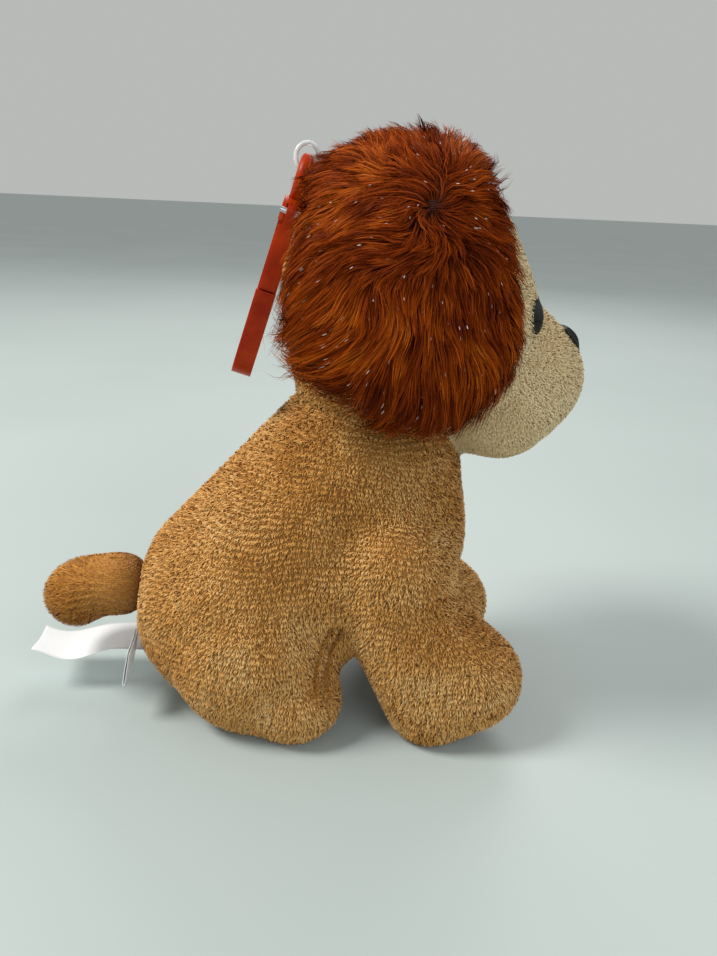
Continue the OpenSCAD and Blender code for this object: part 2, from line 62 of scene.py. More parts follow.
PUFF_STEPS = 16
FIBRES_PER_PIECE = 62000
FUR_RISES = (0.95, 0.5, 0.28, 0.15)  # how steeply a long fibre leaves the ear, at each step along it
THREAD_PITCH = 0.42 * MM
LABEL_T = 0.12 * MM
CARE_LABEL = (12 * MM, 30.6 * MM)  # flat width and length
SEAM_LABEL = (10 * MM, 16 * MM)
STRIP_STEPS = 48  # along a label
STRIP_COLUMNS = 16  # across it

SHELL_NODES = [
    "body_side_left",
    "body_side_right",
    "underbody_gusset",
    "head_side_left",
    "head_side_right",
    "forehead_panel",
    "muzzle_left",
    "muzzle_right",
    "chin_panel",
]
CREAM_NODES = ["forehead_panel", "muzzle_left", "muzzle_right", "chin_panel"]
INNER_NODES = ["body_stuffing", "bean_pouch_top", "bean_pouch_base", "bean_fill", "head_stuffing"]
SKIN_NORMALS = {}  # each cloth piece's normals before it was cut from its skin, by name


# ---- small tools ----


def clamp(values, low=0.0, high=1.0):
    return np.minimum(np.maximum(values, low), high)


def ramp(values, start, end):
    """0 before start, 1 after end, smooth in between."""
    t = clamp((values - start) / (end - start))
    return t * t * (3 - 2 * t)


def unit(vectors):
    lengths = np.linalg.norm(vectors, axis=-1, keepdims=True)
    return vectors / np.maximum(lengths, 1e-12)


def lattice(ix, iy, iz, seed):
    """A fixed random number from 0 to 1 at each whole-numbered place."""
    h = (ix * 374761393 + iy * 668265263 + iz * 1103515245 + seed * 1274126177) & 0xFFFFFFFF
    h = ((h ^ (h >> 13)) * 1274126177) & 0xFFFFFFFF
    return ((h ^ (h >> 16)) & 0xFFFF) / 65535.0


def noise(points, size, seed):
    """Smooth noise from 0 to 1, with lumps of about this size in metres."""
    q = points / size
    cell = np.floor(q).astype(np.int64)
    f = q - cell
    f = f * f * (3 - 2 * f)
    total = np.zeros(len(points))
    for dx in (0, 1):
        for dy in (0, 1):
            for dz in (0, 1):
                share = np.abs(1 - dx - f[:, 0]) * np.abs(1 - dy - f[:, 1]) * np.abs(1 - dz - f[:, 2])
                total += share * lattice(cell[:, 0] + dx, cell[:, 1] + dy, cell[:, 2] + dz, seed)
    return total


def srgb(red, green, blue):
    """A colour of 0 to 255 steps as the linear one that shaders take."""
    out = []
    for channel in (red, green, blue):
        c = channel / 255
        out.append(c / 12.92 if c <= 0.04045 else ((c + 0.055) / 1.055) ** 2.4)
    return (*out, 1.0)


def away_from(points, place, distance):
    """0 near this place, rising to 1 at this distance from it."""
    return ramp(np.linalg.norm(points - place, axis=1), 0.55 * distance, distance)


# ---- meshes ----


def coordinates(mesh):
    out = np.empty(len(mesh.vertices) * 3, np.float32)
    mesh.vertices.foreach_get("co", out)
    return out.reshape(-1, 3).astype(float)


def set_coordinates(mesh, points):
    mesh.vertices.foreach_set("co", points.astype(np.float32).ravel())
    mesh.update()


def link(name, mesh, material=None):
    piece = bpy.data.objects.new(name, mesh)
    bpy.context.scene.collection.objects.link(piece)
    if material is not None:
        mesh.materials.append(material)
    return piece


def plain_mesh(name, verts, faces, material=None, smooth=True):
    mesh = bpy.data.meshes.new(name)
    mesh.from_pydata([tuple(v) for v in verts], [], [tuple(f) for f in faces])
    mesh.polygons.foreach_set("use_smooth", [smooth] * len(mesh.polygons))
    mesh.update()
    return link(name, mesh, material)


def triangle_mesh(name, verts, triangles, uvs, normals, material):
    """A mesh of many triangles, with a UV per vertex and its own normals."""
    mesh = bpy.data.meshes.new(name)
    mesh.vertices.add(len(verts))
    mesh.vertices.foreach_set("co", verts.astype(np.float32).ravel())
    mesh.loops.add(triangles.size)
    mesh.loops.foreach_set("vertex_index", triangles.astype(np.int32).ravel())
    mesh.polygons.add(len(triangles))
    mesh.polygons.foreach_set("loop_start", np.arange(0, triangles.size, 3, dtype=np.int32))
    mesh.polygons.foreach_set("use_smooth", np.ones(len(triangles), bool))
    layer = mesh.uv_layers.new(name="OFBake")
    layer.data.foreach_set("uv", uvs[triangles.ravel()].astype(np.float32).ravel())
    mesh.update(calc_edges=True)
    mesh.normals_split_custom_set_from_vertices(normals.astype(np.float32).tolist())
    return link(name, mesh, material)


def settle_modifiers(piece):
    """Applies every modifier to the piece's mesh."""
    graph = bpy.context.evaluated_depsgraph_get()
    mesh = bpy.data.meshes.new_from_object(piece.evaluated_get(graph), depsgraph=graph)
    old = piece.data
    piece.modifiers.clear()
    piece.data = mesh
    bpy.data.meshes.remove(old)


def drop(piece):
    mesh = piece.data
    bpy.data.objects.remove(piece)
    bpy.data.meshes.remove(mesh)


def tree_of(mesh):
    verts = [v.co.copy() for v in mesh.vertices]
    return BVHTree.FromPolygons(verts, [tuple(p.vertices) for p in mesh.polygons])


def node_tree(name):
    return tree_of(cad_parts[name].data)


def keep_largest(piece):
    """Deletes every loose part but the one with the most vertices."""
    bm = bmesh.new()
    bm.from_mesh(piece.data)
    bm.verts.ensure_lookup_table()
    seen = np.zeros(len(bm.verts), bool)
    groups = []
    for start in bm.verts:
        if seen[start.index]:
            continue
        seen[start.index] = True
        stack, group = [start], []
        while stack:
            v = stack.pop()
            group.append(v)
            for edge in v.link_edges:
                other = edge.other_vert(v)
                if not seen[other.index]:
                    seen[other.index] = True
                    stack.append(other)
        groups.append(group)
    groups.sort(key=len)
    loose = [v for group in groups[:-1] for v in group]
    bmesh.ops.delete(bm, geom=loose, context="VERTS")
    bm.to_mesh(piece.data)
    bm.free()


def skin_of(name, nodes, voxel, relax):
    """One closed skin round these CAD nodes."""
    verts, faces = [], []
    for node in nodes:
        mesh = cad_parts[node].data
        faces += [[i + len(verts) for i in p.vertices] for p in mesh.polygons]
        verts += [v.co[:] for v in mesh.vertices]
    piece = plain_mesh(name, verts, faces)
    remesh = piece.modifiers.new("skin", "REMESH")
    remesh.mode = "VOXEL"
    remesh.voxel_size = voxel
    smooth = piece.modifiers.new("relax", "SMOOTH")
    smooth.iterations = relax
    smooth.factor = 0.5
    settle_modifiers(piece)
    keep_largest(piece)
    return piece


def puff(piece, pressure, cap, still_within):
    """Cloth under pressure from inside, so that the skin swells and wrinkles by at most cap.

    It keeps its shape within that distance of the tail's root, where the tail has to turn.
    """
    start = coordinates(piece.data)
    cloth = piece.modifiers.new("puff", "CLOTH")
    cloth.settings.quality = 4
    cloth.settings.use_pressure = True
    cloth.settings.uniform_pressure_force = pressure
    cloth.settings.tension_stiffness = 8
    cloth.settings.bending_stiffness = 0.2
    cloth.settings.shrink_min = -0.02
    cloth.settings.effector_weights.gravity = 0
    cloth.collision_settings.use_collision = False
    cloth.point_cache.frame_start = 1
    cloth.point_cache.frame_end = 20
    for step in range(1, PUFF_STEPS + 1):
        bpy.context.scene.frame_set(step)
    graph = bpy.context.evaluated_depsgraph_get()
    moved = coordinates(piece.evaluated_get(graph).data)
    piece.modifiers.clear()
    bpy.context.scene.frame_set(1)
    if moved.shape != start.shape or not np.isfinite(moved).all():
        return
    step = moved - start
    size = np.linalg.norm(step, axis=1, keepdims=True)
    step *= np.minimum(1, cap / np.maximum(size, 1e-9))
    step *= away_from(start, TAIL_ROOT, still_within)[:, None]
    set_coordinates(piece.data, start + step)


def subdivide(piece):
    modifier = piece.modifiers.new("fine", "SUBSURF")
    modifier.levels = modifier.render_levels = 1
    settle_modifiers(piece)


def split_by_node(piece, nodes, materials):
    """Cuts a skin into one cloth piece per CAD node: each face goes to the node that it lies nearest."""
    trees = [node_tree(n) for n in nodes]
    mesh = piece.data
    centres = [p.center.copy() for p in mesh.polygons]
    owner = np.zeros(len(centres), int)
    for i, centre in enumerate(centres):
        distances = [t.find_nearest(centre)[3] for t in trees]
        owner[i] = int(np.argmin(distances))
    press_seams(mesh, owner)
    verts = coordinates(mesh)
    normals = np.array([v.normal[:] for v in mesh.vertices])
    pieces = {}
    for k, node in enumerate(nodes):
        mine = [tuple(mesh.polygons[i].vertices) for i in np.flatnonzero(owner == k)]
        if not mine:
            raise SystemExit(f"no cloth lies near {node}")
        used = sorted({v for f in mine for v in f})
        place = {v: i for i, v in enumerate(used)}
        faces = [[place[v] for v in f] for f in mine]
        cloth = plain_mesh(f"{node}_cloth", verts[used], faces, materials[node])
        SKIN_NORMALS[cloth.name] = normals[used]
        pieces[node] = cloth
    drop(piece)
    return pieces


def press_seams(mesh, owner, depth=0.55 * MM):
    """Sinks the seams, where faces of two panels meet."""
    first = np.full(len(mesh.vertices), -1)
    seam = np.zeros(len(mesh.vertices))
    for i, polygon in enumerate(mesh.polygons):
        for v in polygon.vertices:
            if first[v] < 0:
                first[v] = owner[i]
            elif first[v] != owner[i]:
                seam[v] = 1
    for _ in range(2):
        spread = seam.copy()
        for edge in mesh.edges:
            a, b = edge.vertices
            spread[a] = max(spread[a], 0.55 * seam[b])
            spread[b] = max(spread[b], 0.55 * seam[a])
        seam = spread
    normals = np.array([v.normal[:] for v in mesh.vertices])
    set_coordinates(mesh, coordinates(mesh) - normals * seam[:, None] * depth)


# ---- materials ----


class Shader:
    """A node material with one Principled shader."""

    def __init__(self, name, roughness=0.8, **sockets):
        self.material = bpy.data.materials.new(name)
        self.material.use_nodes = True
        self.nodes = self.material.node_tree.nodes
        self.links = self.material.node_tree.links
        self.principled = self.nodes["Principled BSDF"]
        self.set(Roughness=roughness, **sockets)

    def set(self, **sockets):
        for key, value in sockets.items():
            self.principled.inputs[key.replace("_", " ")].default_value = value

    def add(self, kind, **values):
        node = self.nodes.new(kind)
        for key, value in values.items():
            setattr(node, key, value)
        return node

    def join(self, out, socket):
        self.links.new(out, socket)

    def place(self):
        return self.add("ShaderNodeTexCoord").outputs["Object"]

    def colours(self, factor, stops):
        node = self.add("ShaderNodeValToRGB")
        elements = node.color_ramp.elements
        while len(elements) < len(stops):
            elements.new(0.5)
        for element, (position, colour) in zip(elements, stops):
            element.position = position
            element.color = colour
        self.join(factor, node.inputs["Fac"])
        return node.outputs["Color"]

    def noise(self, scale, detail=3.0, rough=0.5, vector=None):
        node = self.add("ShaderNodeTexNoise")
        node.inputs["Scale"].default_value = scale
        node.inputs["Detail"].default_value = detail
        node.inputs["Roughness"].default_value = rough
        self.join(self.place() if vector is None else vector, node.inputs["Vector"])
        return node.outputs["Fac"]

    def wave(self, scale, distortion, axis="Z"):
        node = self.add("ShaderNodeTexWave", bands_direction=axis)
        node.inputs["Scale"].default_value = scale
        node.inputs["Distortion"].default_value = distortion
        node.inputs["Detail"].default_value = 2.0
        self.join(self.place(), node.inputs["Vector"])
        return node.outputs["Fac"]

    def mix(self, first, second, factor, mode="MULTIPLY"):
        node = self.add("ShaderNodeMix", data_type="RGBA", blend_type=mode)
        if isinstance(factor, float):
            node.inputs["Factor"].default_value = factor
        else:
            self.join(factor, node.inputs["Factor"])
        self.join(first, node.inputs["A"])
        self.join(second, node.inputs["B"])
        return node.outputs["Result"]

    def bump(self, height, distance, strength=1.0):
        node = self.add("ShaderNodeBump")
        node.inputs["Distance"].default_value = distance
        node.inputs["Strength"].default_value = strength
        self.join(height, node.inputs["Height"])
        self.join(node.outputs["Normal"], self.principled.inputs["Normal"])

    def colour(self, out):
        self.join(out, self.principled.inputs["Base Color"])
        return self.material


def pile_material(name, tones, root_shade_tip_light, roughness=0.75, sheen=0.25, specular=0.25):
    """Fibres: across the UV map runs each fibre's own tone, and up it its length from root to tip, along
    which painted shade darkens the root and painted light can brighten the tip.
    """
    s = Shader(name, roughness)
    s.set(Sheen_Weight=sheen, Sheen_Roughness=0.5, Specular_IOR_Level=specular)
    uv = s.add("ShaderNodeUVMap", uv_map="OFBake")
    parts = s.add("ShaderNodeSeparateXYZ")
    s.join(uv.outputs["UV"], parts.inputs[0])
    own = s.colours(parts.outputs["X"], tones)
    along = s.colours(parts.outputs["Y"], root_shade_tip_light)
    return s.colour(s.mix(own, along, 1.0))


def cloth_material(name, dark, light):
    """Backing cloth under a pile, darker than the pile, with fine ridges."""
    s = Shader(name, 0.9, Sheen_Weight=0.2, Specular_IOR_Level=0.15)
    ridges = s.wave(900.0, 3.0)
    grain = s.noise(1400.0, 3.0)
    height = s.mix(ridges, grain, 0.5, "MIX")
    s.bump(height, 0.4 * MM, 0.7)
    patches = s.noise(120.0, 4.0)
    return s.colour(s.colours(patches, [(0.3, dark), (0.7, light)]))


def grey(level):
    return (level, level, level, 1.0)


def make_materials():
    out = {}
    out["tan_pile"] = pile_material(
        "tan_pile",
        [
            (0.0, srgb(142, 86, 30)),
            (0.3, srgb(196, 134, 60)),
            (0.6, srgb(226, 168, 94)),
            (1.0, srgb(246, 210, 146)),
        ],
        # Painted shade darkens each fibre towards its root.
        [(0.0, grey(0.7)), (0.5, grey(0.92)), (1.0, grey(1.0))],
        sheen=0.08,
        specular=0.1,
    )
    out["cream_pile"] = pile_material(
        "cream_pile",
        [
            (0.0, srgb(224, 194, 144)),
            (0.5, srgb(242, 217, 170)),
            (1.0, srgb(252, 237, 202)),
        ],
        # Painted shade darkens each fibre towards its root.
        [(0.0, grey(0.86)), (0.5, grey(0.97)), (1.0, grey(1.0))],
        sheen=0.06,
        specular=0.1,
    )
    out["rust_fur"] = pile_material(
        "rust_fur",
        [
            (0.0, srgb(60, 15, 1)),
            (0.35, srgb(118, 40, 2)),
            (0.7, srgb(168, 74, 6)),
            (0.93, srgb(212, 118, 34)),
            # The brightest tones are the ear's tinsel fibres, with their sparkle painted in as painted
            # glints.
            (0.97, srgb(240, 214, 204)),
            (1.0, srgb(255, 236, 232)),
        ],
        # Painted shade darkens each long fibre towards its root, and painted light brightens its tip past
        # its own colour.
        [(0.0, grey(0.25)), (0.4, grey(0.75)), (0.8, grey(1.05)), (1.0, grey(1.45))],
        roughness=0.55,
        sheen=0.0,
        specular=0.05,
    )
    out["lining_pile"] = pile_material(
        "lining_pile",
        [(0.0, srgb(96, 44, 18)), (0.5, srgb(140, 72, 32)), (1.0, srgb(176, 104, 54))],
        # Painted shade darkens each fibre towards its root.
        [(0.0, grey(0.5)), (1.0, grey(1.0))],
    )
    out["tan_plush"] = cloth_material("tan_cloth", srgb(160, 108, 48), srgb(188, 134, 68))
    out["cream_plush"] = cloth_material("cream_cloth", srgb(220, 192, 142), srgb(234, 208, 160))
    out["rust_plush"] = cloth_material("rust_cloth", srgb(50, 14, 4), srgb(76, 24, 7))
    out["ear_lining"] = cloth_material("lining_cloth", srgb(88, 42, 18), srgb(112, 56, 24))
    out["black_thread"] = thread_material()
    out["loop_cord"] = loop_material()
    out["clip_plastic"] = plastic_material()
    out["pin_steel"] = steel_material()
    out["label_satin"] = satin_material("label_satin", None)
    out["label_print"] = satin_material("label_print", srgb(214, 96, 112))
    return out


def thread_material():
    s = Shader("black_thread", 0.42, Specular_IOR_Level=0.35)
    twist = s.noise(5200.0, 2.0)
    s.bump(twist, 0.04 * MM, 0.6)
    return s.colour(s.colours(twist, [(0.3, srgb(5, 5, 5)), (0.75, srgb(22, 20, 20))]))


def loop_material():
    s = Shader("loop_cord", 0.25, Specular_IOR_Level=0.7, Transmission_Weight=0.35, IOR=1.45)
    grain = s.noise(2600.0, 2.0)
    s.bump(grain, 0.05 * MM, 0.5)
    return s.colour(s.colours(grain, [(0.3, srgb(226, 228, 228)), (0.7, srgb(250, 250, 248))]))


def plastic_material():
    s = Shader("clip_plastic", 0.36, Specular_IOR_Level=0.15, Transmission_Weight=0.12, IOR=1.46)
    s.set(Subsurface_Weight=0.35, Subsurface_Scale=0.003, Subsurface_Radius=(1.0, 0.25, 0.05))
    cloud = s.noise(220.0, 3.0)
    grain = s.noise(3000.0, 2.0)
    s.bump(grain, 0.03 * MM, 0.35)
    return s.colour(s.colours(cloud, [(0.3, srgb(156, 36, 0)), (0.75, srgb(196, 64, 2))]))


def steel_material():
    s = Shader("pin_steel", 0.3, Metallic=1.0, Anisotropic=0.3)
    streaks = s.noise(4000.0, 2.0)
    s.bump(streaks, 0.01 * MM, 0.4)
    return s.colour(s.colours(streaks, [(0.3, srgb(176, 176, 178)), (0.7, srgb(206, 206, 208))]))


def satin_material(name, colour):
    s = Shader(name, 0.34, Specular_IOR_Level=0.5, Sheen_Weight=0.3)
    weave = s.wave(2600.0, 0.6, "X")
    threads = s.wave(3400.0, 0.4, "Y")
    height = s.mix(weave, threads, 0.5, "MIX")
    s.bump(height, 0.03 * MM, 0.5)
    if colour is None:
        stops = [(0.2, srgb(222, 224, 226)), (0.8, srgb(246, 247, 248))]
    else:
        stops = [(0.2, tuple(0.85 * c for c in colour[:3]) + (1.0,)), (0.8, colour)]
    return s.colour(s.colours(height, stops))


# ---- camera, light and floor ----


def make_camera():
    data = bpy.data.cameras.new("camera")
    data.lens = 29.37
    data.sensor_width = 36.0
    camera = bpy.data.objects.new("camera", data)
    bpy.context.scene.collection.objects.link(camera)
    turn = Matrix.Rotation(math.radians(CAMERA_AZIMUTH - 90), 4, "Z")
    turn = turn @ Matrix.Rotation(math.radians(CAMERA_PITCH + 90), 4, "X")
    turn = turn @ Matrix.Rotation(math.radians(CAMERA_ROLL), 4, "Z")
    camera.matrix_world = Matrix.Translation(CAMERA_PLACE) @ turn
    bpy.context.scene.camera = camera


def area_light(name, place, target, size, power, colour):
    data = bpy.data.lights.new(name, "AREA")
    data.shape = "DISK"
    data.size = size
    data.energy = power
    data.color = colour
    lamp = bpy.data.objects.new(name, data)
    bpy.context.scene.collection.objects.link(lamp)
    lamp.location = place
    aim = Vector(target) - Vector(place)
    lamp.rotation_euler = aim.to_track_quat("-Z", "Y").to_euler()


def make_light():
    middle = (0.0, 0.0, 0.05)
    area_light("key", (-0.12, 0.62, 0.80), middle, 0.35, 8.5, (1.0, 0.97, 0.93))
    area_light("fill", (-0.75, -0.35, 0.55), middle, 0.7, 2.6, (0.93, 0.97, 1.0))
    area_light("rim", (0.65, -0.2, 0.6), middle, 0.5, 2.0, (1.0, 0.98, 0.96))
    world = bpy.data.worlds.new("studio")
    bpy.context.scene.world = world
    world.use_nodes = True
    backdrop = world.node_tree.nodes["Background"]
    backdrop.inputs["Color"].default_value = (0.80, 0.82, 0.80, 1.0)
    backdrop.inputs["Strength"].default_value = 0.6
    bpy.context.scene.view_settings.view_transform = "Standard"


def make_floor():
    s = Shader("floor_paint", 0.5, Specular_IOR_Level=0.3)
    cloud = s.noise(6.0, 2.0)
    s.bump(s.noise(900.0, 2.0), 0.02 * MM, 0.2)
    material = s.colour(s.colours(cloud, [(0.3, srgb(176, 187, 185)), (0.7, srgb(182, 192, 190))]))
    far = 30.0
    verts = [(-far, -far, 0), (far, -far, 0), (far, far, 0), (-far, far, 0)]
    floor = plain_mesh("floor", verts, [(0, 1, 2, 3)], material, smooth=False)


# ---- the hanging loop ----


def loop_route():
    """The points of the loop's middle line, in millimetres, as the model has them."""
    loop_y, loop_z = -2.0945, 105.102
    pivot = np.array([0.0, -1.1945, 112.6])
    arch = (2.15, 2.5)
    middle = pivot + np.array([0.0, 0.0, 0.45])
    start = [
        (4.2, 0.0, 0.0),
        (5.3, -0.6, 2.0),
        (5.3, -0.9, 4.3),
        (4.0, -1.1, 6.0),
        (2.2, -1.2, 6.8),
        (1.0, -1.3, 7.6),
    ]
    end = [(-1.0, 0.0, 5.2), (-2.2, -0.9, 4.7), (-3.8, -1.1, 3.9), (-5.0, -0.7, 2.2), (-4.2, 0.0, 0.0)]
    route = [(x, loop_y + y, loop_z + z) for x, y, z in start]
    steps = 15
    for i in range(steps + 1):
        u = i / steps
        a = math.radians(168 - 240 * u)
        step = np.array([0.55 - 1.1 * u, arch[0] * math.cos(a), arch[1] * math.sin(a)])
        route.append(tuple(middle + step))
    route += [(x, loop_y + y, loop_z + z) for x, y, z in end]
    return [tuple(c * MM for c in p) for p in route]


def make_loop(material):
    route = loop_route()
    data = bpy.data.curves.new("hanging_loop_cord", "CURVE")
    data.dimensions = "3D"
    data.bevel_depth = 0.45 * MM
    data.bevel_resolution = 4
    data.use_fill_caps = True
    spline = data.splines.new("POLY")
    spline.points.add(len(route) - 1)
    for point, place in zip(spline.points, route):
        point.co = (*place, 1.0)
    spline.use_smooth = True
    data.materials.append(material)
    cord = bpy.data.objects.new("hanging_loop_cord", data)
    bpy.context.scene.collection.objects.link(cord)
    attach(cord, "loop")
    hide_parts("hanging_loop")


# ---- pile ----


def crease(points):
    """1 in the two short creases where the thigh meets the belly, and 0 away from them."""
    x, y, z = points.T
    side = ramp(np.abs(x), 12 * MM, 16 * MM)
    tall = ramp(z, 11 * MM, 14 * MM) * (1 - ramp(z, 25 * MM, 28 * MM))
    depth = np.zeros(len(points))
    for line, share in ((-4.6 * MM, 0.75), (-7.0 * MM, 1.0)):
        bend = line - 0.2 * (z - 15 * MM) + 0.5 * MM * np.sin((z - 14 * MM) / (3 * MM))
        depth += share * np.exp(-(((y - bend) / (0.6 * MM)) ** 2))
    return clamp(depth * side * tall)


def scatter(mesh, normals, density, rng):
    """Places spread evenly over a mesh, density to the square millimetre, with the skin's smooth normals."""
    mesh.calc_loop_triangles()
    count = len(mesh.loop_triangles)
    corners = np.empty(count * 3, np.int32)
    mesh.loop_triangles.foreach_get("vertices", corners)
    corners = corners.reshape(-1, 3)
    verts = coordinates(mesh)
    a, b, c = (verts[corners[:, k]] for k in range(3))
    areas = np.linalg.norm(np.cross(b - a, c - a), axis=1) / 2
    total = int(areas.sum() / MM**2 * density)
    edges = np.cumsum(areas)
    picks = np.searchsorted(edges, (np.arange(total) + rng.random(total)) / total * edges[-1])
    picks = np.minimum(picks, count - 1)
    r1, r2 = np.sqrt(rng.random(total)), rng.random(total)
    share = np.stack([1 - r1, r1 * (1 - r2), r1 * r2], axis=1)
    chosen = corners[picks]
    points = np.einsum("nk,nkd->nd", share, verts[chosen])
    out = unit(np.einsum("nk,nkd->nd", share, normals[chosen]))
    return points, out


def edges_and_tip(left, right, tip):
    """Values for each fibre's points: those along its two edges in turn, then the one at its tip."""
    count, rows, size = left.shape
    out = np.empty((count, 2 * rows - 1, size))
    out[:, 0:-1:2] = left[:, :-1]
    out[:, 1:-1:2] = right[:, :-1]
    out[:, -1] = tip
    return out


def ribbon_triangles(count, rows):
    """Two triangles for each step along a fibre, and one at its tip."""
    pattern = []
    for r in range(rows - 2):
        pattern += [(2 * r, 2 * r + 1, 2 * r + 3), (2 * r, 2 * r + 3, 2 * r + 2)]
    pattern.append((2 * rows - 4, 2 * rows - 3, 2 * rows - 2))
    starts = np.arange(count) * (2 * rows - 1)
    return (starts[:, None, None] + np.array(pattern)[None]).reshape(-1, 3)


def ribbon_uvs(tones, along):
    """Across the map lies a fibre's own tone, and up it the distance from its root."""
    shape = (len(tones), len(along))
    tone = np.broadcast_to(tones[:, None], shape)
    height = np.broadcast_to(along, shape)
    left = np.stack([tone - 0.002, height], axis=2)
    right = np.stack([tone + 0.002, height], axis=2)
    tip = np.stack([tones, np.ones(len(tones))], axis=1)
    return clamp(edges_and_tip(left, right, tip), 0.003, 0.997)


def ribbons(name, paths, normals, widths, tones, rolls, material):
    """Flat tapering fibres along these paths, which face outwards, as one mesh."""
    count, rows = paths.shape[:2]
    tangents = unit(np.gradient(paths, axis=1))
    if normals.ndim == 2:
        normals = np.repeat(normals[:, None, :], rows, axis=1)
    sides = unit(np.cross(tangents, normals))
    faces_out = unit(np.cross(sides, tangents))
    cos, sin = np.cos(rolls)[:, None, None], np.sin(rolls)[:, None, None]
    sides = sides * cos + faces_out * sin
    along = np.linspace(0, 1, rows)
    taper = (1 - along**2) * 0.85 + 0.15
    half = sides * (widths[:, None] * taper[None, :] / 2)[:, :, None]
    verts = edges_and_tip(paths - half, paths + half, paths[:, -1]).reshape(-1, 3)
    soft = edges_and_tip(normals, normals, normals[:, -1]).reshape(-1, 3)
    uvs = ribbon_uvs(tones, along).reshape(-1, 2)
    return triangle_mesh(name, verts, ribbon_triangles(count, rows), uvs, soft, material)


def ridge_field(points, pitch, seed):
    """Wavy ridges of pile: where each point lies across its ridge, and the way across."""
    y, z = points[:, 1], points[:, 2]
    neck = ramp(z, 42 * MM, 62 * MM)
    leg = ramp(-y, 6 * MM, 20 * MM) * (1 - neck)
    turn = 0.3 * leg - 0.35 * neck + 0.7 * (noise(points, 26 * MM, seed) - 0.5)
    across = np.stack([np.zeros(len(y)), np.sin(turn), np.cos(turn)], axis=1)
    warp = 2.6 * MM * noise(points, 8 * MM, seed + 1) + 0.8 * MM * noise(points, 2.4 * MM, seed + 2)
    phase = (y * np.sin(turn * 0.6) + z * np.cos(turn * 0.6) + warp) / pitch
    return 2 * math.pi * phase, across


def pile_paths(points, normals, phase, across, nap, length, pitch, ridge, rng):
    """Each short fibre's root, middle and tip: combed along nap, and drawn towards its ridge's crest."""
    count = len(points)
    stray = rng.normal(0, 0.45, (count, 3))
    flow = np.array(nap) + stray
    flow = unit(flow - normals * np.sum(flow * normals, axis=1, keepdims=True))
    short = 0.3 + 0.7 * away_from(points, TAIL_ROOT, 11 * MM) * away_from(points, LOOP_ROOT, 8 * MM)
    crest = 0.5 + 0.5 * np.cos(phase)
    uneven = 0.75 + 0.35 * ridge * (crest - 0.5) + 0.3 * (rng.random(count) - 0.5)
    tall = short * (1 - 0.55 * crease(points)) * length * uneven
    lean = 0.55 + 0.25 * noise(points, 5 * MM, 5)
    shift = -np.sin(phase)[:, None] * across * pitch * 0.22 * ridge
    root = points - normals * 0.25 * MM
    middle = points + (normals * 0.55 + flow * 0.3) * tall[:, None] + shift * 0.5
    tip = points + normals * (tall * (1 - 0.45 * lean))[:, None] + flow * (tall * lean)[:, None] + shift
    paths = np.stack([root, middle, tip], axis=1)
    paths[:, :, 2] = np.maximum(paths[:, :, 2], 0.15 * MM)
    return paths


def pile_tones(points, phase, ridge, painted_shade, rng):
    """Each short fibre's tone: in patches, with painted light on a ridge's crest and painted shade in its
    trough, painted shade in a crease, and painted shade over all by the given amount.
    """
    crest = 0.5 + 0.5 * np.cos(phase)
    patches = noise(points, 13 * MM, 21) - 0.5 + 0.6 * (noise(points, 4.5 * MM, 22) - 0.5)
    # Painted shade: the fibres in the thigh creases are darkened.
    patches -= 1.5 * crease(points)
    speckle = 0.075 * rng.normal(0, 1, len(points))
    # Painted light on each ridge's crest and painted shade in its trough, and the painted shade amount taken
    # off every fibre's tone.
    return clamp(0.52 - painted_shade + 0.45 * patches + 0.28 * ridge * (crest - 0.5) + speckle, 0.02, 0.98)


def grow_pile(cloth, body, material, density, length, seed,
              pitch=1.05 * MM, ridge=1.0, nap=(0, 0.25, -1), painted_shade=0.0):
    """Short pile over a cloth piece, combed one way and bunched into fine wavy ridges."""
    rng = np.random.default_rng(seed)
    points, normals = scatter(cloth.data, SKIN_NORMALS[cloth.name], density, rng)
    count = len(points)
    phase, across = ridge_field(points, pitch, 11)
    across = unit(across - normals * np.sum(across * normals, axis=1, keepdims=True))
    paths = pile_paths(points, normals, phase, across, nap, length, pitch, ridge, rng)
    tones = pile_tones(points, phase, ridge, painted_shade, rng)
    tilt = 0.38 * ridge * np.sin(phase)[:, None] * across
    soft = unit(normals + tilt + rng.normal(0, 0.08, (count, 3)))
    slim = 1 - 0.6 * crease(points)
    widths = 0.25 * MM * slim * (0.8 + 0.4 * rng.random(count))
    rolls = rng.normal(0, 0.35, count)
    for k, start in enumerate(range(0, count, FIBRES_PER_PIECE)):
        part = slice(start, start + FIBRES_PER_PIECE)
        name = cloth.name.replace("_cloth", f"_pile_{'abcdef'[k]}")
        pile = ribbons(name, paths[part], soft[part], widths[part], tones[part], rolls[part], material)
        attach(pile, body)


# ---- body and head ----


def tuck(mesh):
    """Sinks the two sewn creases at the front of each thigh."""
    points = coordinates(mesh)
    normals = np.array([v.normal[:] for v in mesh.vertices])
    set_coordinates(mesh, points - normals * (2.2 * MM * crease(points))[:, None])


def stand_on_floor(mesh):
    points = coordinates(mesh)
    points[:, 2] = np.maximum(points[:, 2], 0.0)
    set_coordinates(mesh, points)


